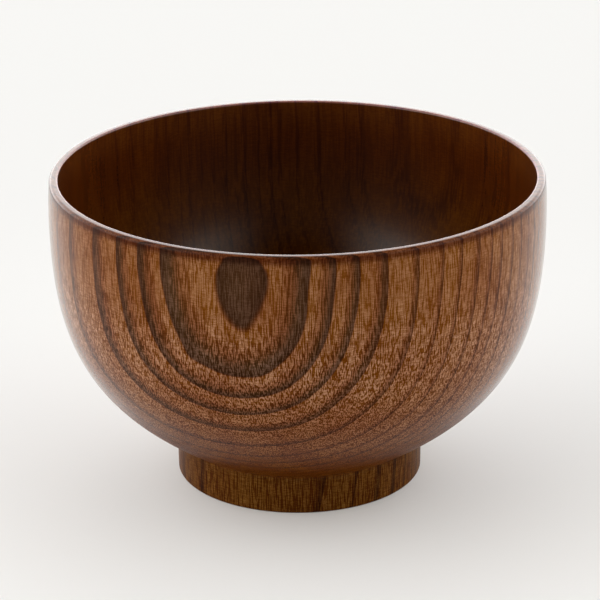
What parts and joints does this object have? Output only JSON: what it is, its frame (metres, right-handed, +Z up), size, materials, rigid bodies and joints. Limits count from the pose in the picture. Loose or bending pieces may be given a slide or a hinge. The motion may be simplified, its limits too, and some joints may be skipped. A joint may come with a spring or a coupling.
{
  "type": "soup bowl",
  "caption": "Round soup bowl turned from solid wood, with a deep rounded body on a foot ring, a slim rounded lip and a clear brown lacquer finish.",
  "frame": {"origin": "centre of the foot ring's standing face", "axes": "+Z up along the axis of turning; +X and +Y are free, and the side with the oval grain figure faces -Y"},
  "size_m": [0.116, 0.116, 0.074],
  "materials": {
    "turned_wood": "bare, end grain on the foot ring",
    "outer_lacquer": "satin clear brown lacquer over open grain",
    "inner_lacquer": "satin clear brown lacquer, darker inside"
  },
  "bodies": {
    "root": {"wood_body": "turned_wood", "outer_lacquer": "outer_lacquer", "inner_lacquer": "inner_lacquer", "foot_recess_lacquer": "outer_lacquer"}
  },
  "joints": []
}
